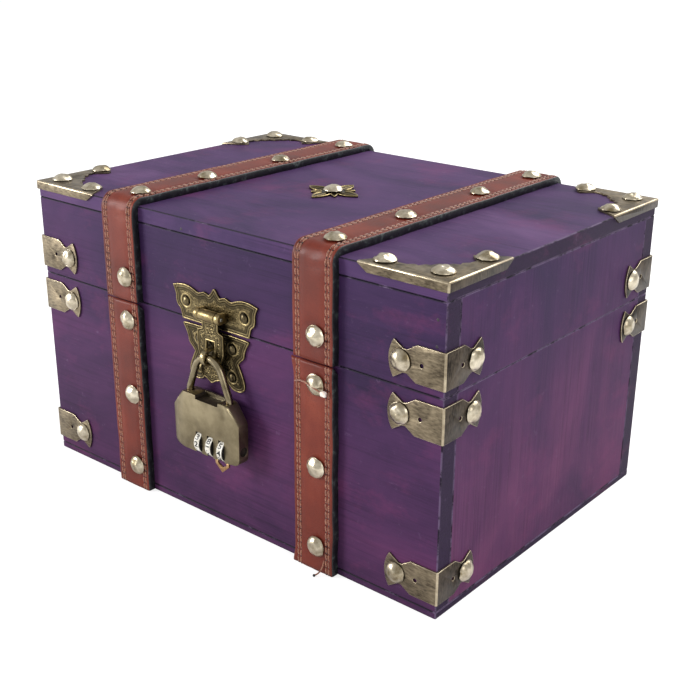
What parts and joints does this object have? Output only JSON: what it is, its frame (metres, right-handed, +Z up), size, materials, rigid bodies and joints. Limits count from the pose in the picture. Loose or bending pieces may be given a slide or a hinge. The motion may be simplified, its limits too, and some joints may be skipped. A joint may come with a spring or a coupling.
{
  "type": "keepsake box",
  "caption": "Stained wooden keepsake box with a hinged lid, leather straps, antique brass corner fittings, a hasp and a small combination padlock.",
  "frame": {"origin": "centre of the wooden base's underside", "axes": "+X to the right along the front, +Y from the front to the back, +Z up"},
  "size_m": [0.227, 0.1674, 0.1352],
  "materials": {
    "stained_wood": "purple stained wood, satin, blotchy, worn at the edges; the kind of wood is not known",
    "strap_leather": "reddish brown coated leather, stitched along both edges, painted black edge",
    "antique_brass": "stamped sheet brass, darkened, rubbed bright on edges",
    "dome_nail_brass": "pale brass upholstery nails, slightly hammered",
    "latch_bronze": "cast and antiqued, relief rubbed bright over dark recesses",
    "padlock_brass": "antiqued brass, satin",
    "dial_enamel": "off-white dial faces with black figures",
    "pin_steel": null,
    "index_copper": "small copper coloured wire loop"
  },
  "bodies": {
    "box": {"base_board": "stained_wood", "body_front_board": "stained_wood", "body_back_board": "stained_wood", "body_left_board": "stained_wood", "body_right_board": "stained_wood", "body_front_strap_left": "strap_leather", "body_front_strap_right": "strap_leather", "body_back_strap_left": "strap_leather", "body_back_strap_right": "strap_leather", "seam_bracket_front_left": "antique_brass", "seam_bracket_front_right": "antique_brass", "seam_bracket_back_left": "antique_brass", "seam_bracket_back_right": "antique_brass", "foot_bracket_left": "antique_brass", "foot_bracket_right": "antique_brass", "body_strap_nails": "dome_nail_brass", "body_bracket_nails": "dome_nail_brass", "keeper_plate": "latch_bronze", "keeper_staple": "latch_bronze", "keeper_nails": "latch_bronze", "hinge_body_leaf_left": "antique_brass", "hinge_body_leaf_right": "antique_brass", "hinge_pins": "pin_steel", "hinge_body_nails": "latch_bronze"},
    "lid": {"lid_top_board": "stained_wood", "lid_front_board": "stained_wood", "lid_back_board": "stained_wood", "lid_left_board": "stained_wood", "lid_right_board": "stained_wood", "lid_strap_left": "strap_leather", "lid_strap_right": "strap_leather", "corner_plate_front_left": "antique_brass", "corner_plate_front_right": "antique_brass", "corner_plate_back_left": "antique_brass", "corner_plate_back_right": "antique_brass", "lid_bracket_front_left": "antique_brass", "lid_bracket_front_right": "antique_brass", "lid_bracket_back_left": "antique_brass", "lid_bracket_back_right": "antique_brass", "lid_strap_nails": "dome_nail_brass", "corner_plate_nails": "dome_nail_brass", "lid_bracket_nails": "dome_nail_brass", "rosette": "antique_brass", "rosette_nail": "dome_nail_brass", "latch_plate": "latch_bronze", "latch_nails": "latch_bronze", "hasp_pin": "pin_steel", "hinge_lid_leaf_left": "antique_brass", "hinge_lid_leaf_right": "antique_brass", "hinge_lid_nails": "latch_bronze"},
    "hasp": {"hasp_tongue": "latch_bronze"},
    "shackle": {"padlock_shackle": "padlock_brass"},
    "case": {"padlock_case": "padlock_brass", "padlock_catch": "pin_steel", "padlock_spindle": "pin_steel", "index_loop": "index_copper"},
    "dial_1": {"dial_left": "dial_enamel"},
    "dial_2": {"dial_middle": "dial_enamel"},
    "dial_3": {"dial_right": "dial_enamel"}
  },
  "joints": [
    {"name": "lid_hinge", "type": "hinge", "parent": "box", "child": "lid", "pos_m": [0, 0.0787, 0.088], "axis": [-1, 0, 0], "range_deg": [0, 105]},
    {"name": "hasp_swing", "type": "hinge", "parent": "lid", "child": "hasp", "pos_m": [0, -0.079, 0.0932], "axis": [-1, 0, 0], "range_deg": [0, 158]},
    {"name": "padlock_swing", "type": "hinge", "parent": "box", "child": "shackle", "pos_m": [0.0009, -0.08105, 0.0763], "axis": [-1, 0, 0], "range_deg": [0, 90]},
    {"name": "shackle_pull", "type": "slide", "parent": "shackle", "child": "case", "axis": [0, 0, -1], "range_m": [0, 0.008]},
    {"name": "dial_1_turn", "type": "hinge", "parent": "case", "child": "dial_1", "pos_m": [-0.0029, -0.08125, 0.0393], "axis": [1, 0, 0], "continuous": true},
    {"name": "dial_2_turn", "type": "hinge", "parent": "case", "child": "dial_2", "pos_m": [0.0036, -0.08125, 0.0393], "axis": [1, 0, 0], "continuous": true},
    {"name": "dial_3_turn", "type": "hinge", "parent": "case", "child": "dial_3", "pos_m": [0.0101, -0.08125, 0.0393], "axis": [1, 0, 0], "continuous": true}
  ],
  "couplings": [
    {"joint": "hasp_swing", "follows": "lid_hinge", "ratio": 1.5}
  ]
}
